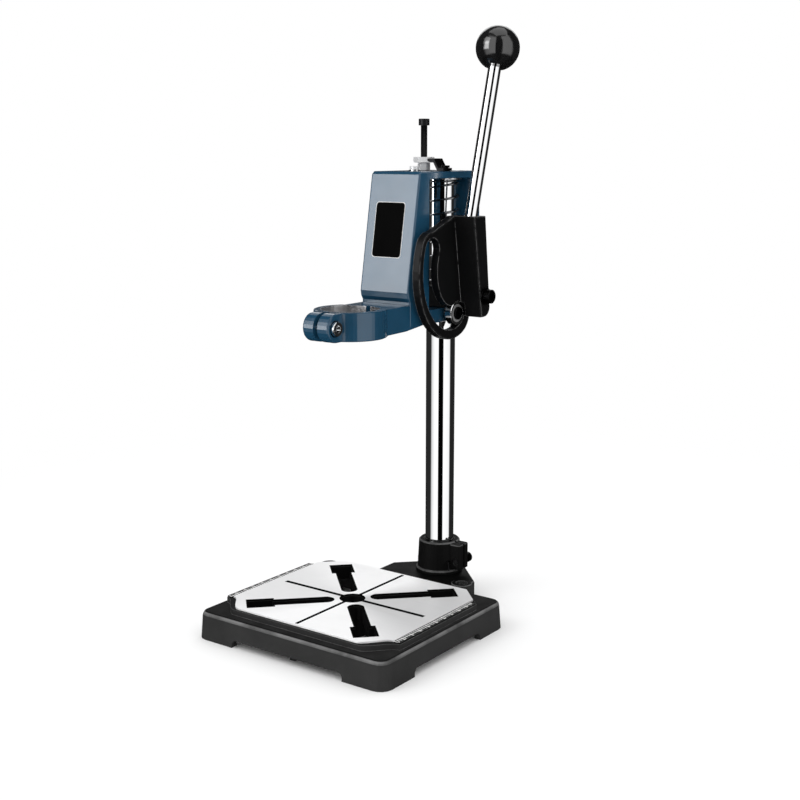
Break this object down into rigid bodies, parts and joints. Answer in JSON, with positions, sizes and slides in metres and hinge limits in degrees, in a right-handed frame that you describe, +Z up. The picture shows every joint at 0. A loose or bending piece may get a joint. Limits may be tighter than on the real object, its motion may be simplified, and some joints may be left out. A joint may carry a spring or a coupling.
{
  "type": "drill stand",
  "caption": "Bench drill stand with a slotted cast base, a round column and a sprung carriage whose split collar is driven down by a lever and a cam slot.",
  "frame": {"origin": "on the bench, where the column's axis meets it, under the base's rear tab", "axes": "+Z up along the column, -Y to the front where the collar and work plate are, +X to the lever's side"},
  "size_m": [0.213, 0.2737, 0.5465],
  "materials": {
    "black_casting": "black powder paint over a casting",
    "blue_casting": "glossy dark blue paint over a casting",
    "plate": "brushed sheet",
    "scale": "black anodised with white marks",
    "chrome": "polished",
    "steel": "plain",
    "black_steel": "black oxide",
    "bronze": "sintered",
    "seal": "matt",
    "gloss_black": "polished"
  },
  "bodies": {
    "base": {"base_casting": "black_casting", "work_plate": "plate", "scale_strip_left": "scale", "scale_strip_right": "scale", "column_socket": "black_casting", "socket_bolt_1": "steel", "socket_bolt_2": "steel", "socket_bolt_3": "steel"},
    "socket_screw": {"socket_clamp_screw": "black_steel"},
    "column": {"column": "chrome"},
    "head": {"clamp_block": "black_casting", "spring": "steel", "pivot_washer": "black_steel", "pivot_bolt": "black_steel"},
    "head_screw": {"clamp_screw": "black_steel"},
    "lever": {"rocker": "black_casting", "pivot_bush": "bronze", "lever_rod": "chrome", "ball_knob": "gloss_black"},
    "carriage": {"carriage": "blue_casting", "upper_bush": "steel", "lower_bush": "bronze", "roller_inner": "seal", "roller_spacer": "steel", "roller_screw": "black_steel", "stop_hex_nut": "chrome", "stop_lock_nut": "chrome", "stop_bracket": "black_steel", "bracket_screw_1": "black_steel", "bracket_screw_2": "black_steel", "top_bolt": "chrome", "top_washer": "chrome"},
    "roller": {"roller_ring": "chrome"},
    "neck_screw": {"collar_screw": "chrome"},
    "stop_screw": {"depth_screw": "black_steel"}
  },
  "joints": [
    {"name": "column_swivel", "type": "hinge", "parent": "base", "child": "column", "pos_m": [0, 0, 0.0546], "axis": [0, 0, 1], "continuous": true},
    {"name": "socket_screw_turn", "type": "hinge", "parent": "base", "child": "socket_screw", "pos_m": [0.025, 0, 0.0356], "axis": [0, 1, 0], "continuous": true},
    {"name": "head_height", "type": "slide", "parent": "column", "child": "head", "axis": [0, 0, 1], "range_m": [-0.15, 0]},
    {"name": "head_screw_turn", "type": "hinge", "parent": "head", "child": "head_screw", "pos_m": [-0.0335, 0, 0.3004], "axis": [0, 1, 0], "continuous": true},
    {"name": "lever_pull", "type": "hinge", "parent": "head", "child": "lever", "pos_m": [0, -0.017, 0.302], "axis": [1, 0, 0], "range_deg": [0, 120]},
    {"name": "carriage_slide", "type": "slide", "parent": "head", "child": "carriage", "axis": [0, 0, 1], "range_m": [-0.056, 0], "stiffness_N_per_m": 500, "springref_m": 0.06, "deforming": ["spring"]},
    {"name": "roller_turn", "type": "hinge", "parent": "carriage", "child": "roller", "pos_m": [0.0348, -0.029, 0.2858], "axis": [1, 0, 0], "continuous": true},
    {"name": "neck_screw_turn", "type": "hinge", "parent": "carriage", "child": "neck_screw", "pos_m": [0, -0.1795, 0.286], "axis": [1, 0, 0], "continuous": true},
    {"name": "stop_screw_depth", "type": "slide", "parent": "carriage", "child": "stop_screw", "axis": [0, 0, 1], "range_m": [-0.027, 0]}
  ],
  "couplings": [
    {"joint": "carriage_slide", "follows": "lever_pull", "m_per_rad": -0.024828}
  ]
}
